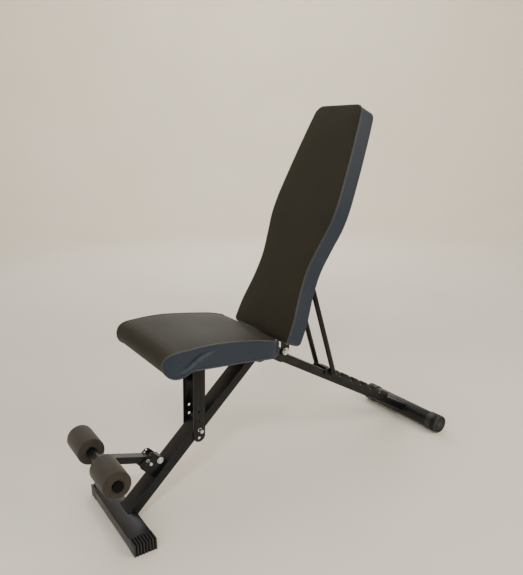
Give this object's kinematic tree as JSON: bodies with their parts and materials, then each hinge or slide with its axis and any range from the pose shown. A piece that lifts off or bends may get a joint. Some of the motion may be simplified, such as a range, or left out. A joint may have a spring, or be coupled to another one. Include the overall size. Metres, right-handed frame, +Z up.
{
  "type": "adjustable weight bench",
  "caption": "Folding adjustable weight bench with an inverted-V tube frame, ladder-rack backrest prop, pinned seat post and a leg-hold arm with foam rollers.",
  "frame": {"origin": "on the floor under the middle of the bounding box", "axes": "+X towards the head end, +Y across the bench to the far side, +Z up"},
  "size_m": [1.1924, 0.343, 1.0852],
  "materials": {
    "powder_coat": "satin black powder coat",
    "zinc": "bright zinc plate",
    "cap_plastic": "moulded, ribbed",
    "upholstery": "matte PU leather over foam",
    "plywood": "raw birch plywood",
    "foam": "closed-cell NBR foam"
  },
  "bodies": {
    "rear_frame": {"rear_leg": "powder_coat", "rack_near": "powder_coat", "rack_far": "powder_coat", "rear_tube": "powder_coat", "rear_cap_near": "cap_plastic", "rear_cap_far": "cap_plastic", "rear_cap_screws": "zinc", "hinge_plate_near": "powder_coat", "hinge_plate_far": "powder_coat", "plate_rivets": "zinc", "fold_bolt": "zinc", "fold_nut": "zinc", "back_bolt": "zinc", "back_nut": "zinc"},
    "front_frame": {"front_leg": "powder_coat", "front_tube": "powder_coat", "front_cap_near": "cap_plastic", "front_cap_far": "cap_plastic", "arm_bracket": "powder_coat", "arm_bolt": "zinc", "arm_nut": "zinc"},
    "seat": {"seat_pad": "upholstery", "seat_board": "plywood", "seat_bracket": "powder_coat", "seat_rail": "powder_coat", "post_lug": "powder_coat", "post_bolt": "zinc", "post_nut": "zinc", "seat_screws": "zinc"},
    "seat_post": {"seat_post": "powder_coat"},
    "seat_pin": {"seat_pin": "zinc"},
    "backrest": {"backrest_pad": "upholstery", "backrest_board": "plywood", "back_rail": "powder_coat", "back_ear_near": "powder_coat", "back_ear_far": "powder_coat", "prop_lugs": "powder_coat", "prop_bolt": "zinc", "prop_nut": "zinc", "back_screws": "zinc"},
    "prop": {"prop_arm_near": "powder_coat", "prop_arm_far": "powder_coat", "prop_sleeve": "powder_coat", "prop_bar": "powder_coat"},
    "roller_arm": {"roller_arm": "powder_coat", "roller_tube": "powder_coat", "tube_plugs": "cap_plastic"},
    "arm_pin": {"arm_pin": "zinc"},
    "roller_near": {"roller_near": "foam"},
    "roller_far": {"roller_far": "foam"}
  },
  "joints": [
    {"name": "frame_fold", "type": "hinge", "parent": "rear_frame", "child": "front_frame", "pos_m": [-0.06875, 0, 0.398], "axis": [0, -1, 0], "range_deg": [0, 60]},
    {"name": "backrest_recline", "type": "hinge", "parent": "rear_frame", "child": "backrest", "pos_m": [0.01325, 0, 0.381], "axis": [0, -1, 0], "range_deg": [-55.2, 0]},
    {"name": "prop_swing", "type": "hinge", "parent": "backrest", "child": "prop", "pos_m": [0.09951, 0, 0.59725], "axis": [0, -1, 0], "range_deg": [0, 70.67]},
    {"name": "seat_tilt", "type": "hinge", "parent": "front_frame", "child": "seat", "pos_m": [-0.06875, 0, 0.398], "axis": [0, 1, 0], "range_deg": [-14.7, 7.3]},
    {"name": "post_swing", "type": "hinge", "parent": "seat", "child": "seat_post", "pos_m": [-0.26967, 0, 0.41401], "axis": [0, 1, 0], "range_deg": [-7.3, 14.7]},
    {"name": "seat_pin_pull", "type": "slide", "parent": "front_frame", "child": "seat_pin", "axis": [0, -1, 0], "range_m": [0, 0.08]},
    {"name": "arm_swing", "type": "hinge", "parent": "front_frame", "child": "roller_arm", "pos_m": [-0.39425, 0, 0.1494], "axis": [0, 1, 0], "range_deg": [0, 28]},
    {"name": "arm_pin_pull", "type": "slide", "parent": "roller_arm", "child": "arm_pin", "axis": [0, -1, 0], "range_m": [0, 0.045]},
    {"name": "roller_near_spin", "type": "hinge", "parent": "roller_arm", "child": "roller_near", "pos_m": [-0.55975, 0, 0.2], "axis": [0, 1, 0], "continuous": true},
    {"name": "roller_far_spin", "type": "hinge", "parent": "roller_arm", "child": "roller_far", "pos_m": [-0.55975, 0, 0.2], "axis": [0, 1, 0], "continuous": true}
  ],
  "couplings": [
    {"joint": "prop_swing", "follows": "backrest_recline", "ratio": -1.2801},
    {"joint": "post_swing", "follows": "seat_tilt", "ratio": -1}
  ]
}
